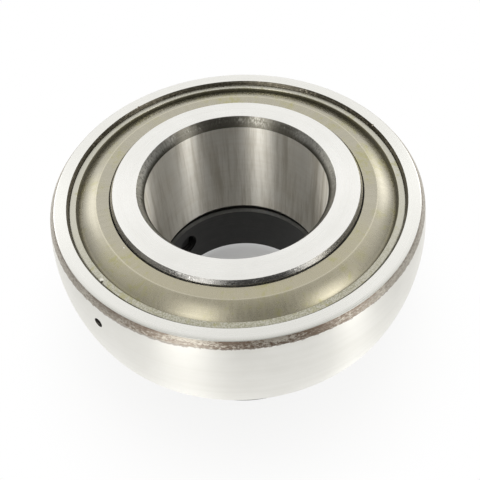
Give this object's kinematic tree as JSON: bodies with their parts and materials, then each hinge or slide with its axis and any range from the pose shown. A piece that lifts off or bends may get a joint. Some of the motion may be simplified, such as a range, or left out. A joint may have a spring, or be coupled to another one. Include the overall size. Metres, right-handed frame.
{
  "type": "insert bearing",
  "caption": "Ball bearing insert with a spherical outer ring, crimped steel seals and an eccentric locking collar with a set screw, standing on the collar.",
  "frame": {"origin": "centre of the outer ring's sphere, on the axis of the shaft bore", "axes": "+Z along the shaft axis, away from the locking collar; +X from the shaft axis towards the axis of the eccentric cam"},
  "size_m": [0.062, 0.062, 0.0358],
  "materials": {
    "ground_ring_steel": "ground and honed, turned chamfers left rough",
    "polished_ball_steel": "polished",
    "pressed_cage_steel": "pressed sheet",
    "rivet_steel": "formed wire",
    "zinc_plated_steel": "yellowish zinc plate on pressed sheet",
    "bright_sheet_steel": "stamped sheet",
    "seal_rubber": "satin",
    "blackened_steel": "black oxide, turned",
    "blackened_screw_steel": "black oxide"
  },
  "bodies": {
    "outer_ring": {"outer_ring": "ground_ring_steel", "upper_seal_washer": "zinc_plated_steel", "upper_seal_lip": "seal_rubber", "upper_backing_washer": "bright_sheet_steel", "lower_seal_washer": "zinc_plated_steel", "lower_seal_lip": "seal_rubber", "lower_backing_washer": "bright_sheet_steel"},
    "inner_ring": {"inner_ring": "ground_ring_steel"},
    "cage": {"cage_upper_half": "pressed_cage_steel", "cage_lower_half": "pressed_cage_steel", "cage_rivets": "rivet_steel"},
    "ball_1": {"ball_1": "polished_ball_steel"},
    "ball_2": {"ball_2": "polished_ball_steel"},
    "ball_3": {"ball_3": "polished_ball_steel"},
    "ball_4": {"ball_4": "polished_ball_steel"},
    "ball_5": {"ball_5": "polished_ball_steel"},
    "ball_6": {"ball_6": "polished_ball_steel"},
    "ball_7": {"ball_7": "polished_ball_steel"},
    "ball_8": {"ball_8": "polished_ball_steel"},
    "ball_9": {"ball_9": "polished_ball_steel"},
    "collar": {"locking_collar": "blackened_steel"},
    "set_screw": {"set_screw": "blackened_screw_steel"}
  },
  "joints": [
    {"name": "inner_spin", "type": "hinge", "parent": "outer_ring", "child": "inner_ring", "pos_m": [0, 0, 0], "axis": [0, 0, 1], "continuous": true},
    {"name": "cage_orbit", "type": "hinge", "parent": "outer_ring", "child": "cage", "pos_m": [0, 0, 0], "axis": [0, 0, 1], "continuous": true},
    {"name": "ball_1_spin", "type": "hinge", "parent": "cage", "child": "ball_1", "pos_m": [0.023, 0, 0], "axis": [0, 0, 1], "continuous": true},
    {"name": "ball_2_spin", "type": "hinge", "parent": "cage", "child": "ball_2", "pos_m": [0.01762, 0.01478, 0], "axis": [0, 0, 1], "continuous": true},
    {"name": "ball_3_spin", "type": "hinge", "parent": "cage", "child": "ball_3", "pos_m": [0.00399, 0.02265, 0], "axis": [0, 0, 1], "continuous": true},
    {"name": "ball_4_spin", "type": "hinge", "parent": "cage", "child": "ball_4", "pos_m": [-0.0115, 0.01992, 0], "axis": [0, 0, 1], "continuous": true},
    {"name": "ball_5_spin", "type": "hinge", "parent": "cage", "child": "ball_5", "pos_m": [-0.02161, 0.00787, 0], "axis": [0, 0, 1], "continuous": true},
    {"name": "ball_6_spin", "type": "hinge", "parent": "cage", "child": "ball_6", "pos_m": [-0.02161, -0.00787, 0], "axis": [0, 0, 1], "continuous": true},
    {"name": "ball_7_spin", "type": "hinge", "parent": "cage", "child": "ball_7", "pos_m": [-0.0115, -0.01992, 0], "axis": [0, 0, 1], "continuous": true},
    {"name": "ball_8_spin", "type": "hinge", "parent": "cage", "child": "ball_8", "pos_m": [0.00399, -0.02265, 0], "axis": [0, 0, 1], "continuous": true},
    {"name": "ball_9_spin", "type": "hinge", "parent": "cage", "child": "ball_9", "pos_m": [0.01762, -0.01478, 0], "axis": [0, 0, 1], "continuous": true},
    {"name": "collar_turn", "type": "hinge", "parent": "inner_ring", "child": "collar", "pos_m": [0.0008, 0, -0.0125], "axis": [0, 0, 1], "range_deg": [-14, 14]},
    {"name": "screw_travel", "type": "slide", "parent": "collar", "child": "set_screw", "axis": [0.7071, -0.7071, 0], "range_m": [-0.001, 0.0015]}
  ],
  "couplings": [
    {"joint": "cage_orbit", "follows": "inner_spin", "ratio": 0.39647},
    {"joint": "ball_1_spin", "follows": "inner_spin", "ratio": -2.3112},
    {"joint": "ball_2_spin", "follows": "inner_spin", "ratio": -2.3112},
    {"joint": "ball_3_spin", "follows": "inner_spin", "ratio": -2.3112},
    {"joint": "ball_4_spin", "follows": "inner_spin", "ratio": -2.3112},
    {"joint": "ball_5_spin", "follows": "inner_spin", "ratio": -2.3112},
    {"joint": "ball_6_spin", "follows": "inner_spin", "ratio": -2.3112},
    {"joint": "ball_7_spin", "follows": "inner_spin", "ratio": -2.3112},
    {"joint": "ball_8_spin", "follows": "inner_spin", "ratio": -2.3112},
    {"joint": "ball_9_spin", "follows": "inner_spin", "ratio": -2.3112}
  ]
}
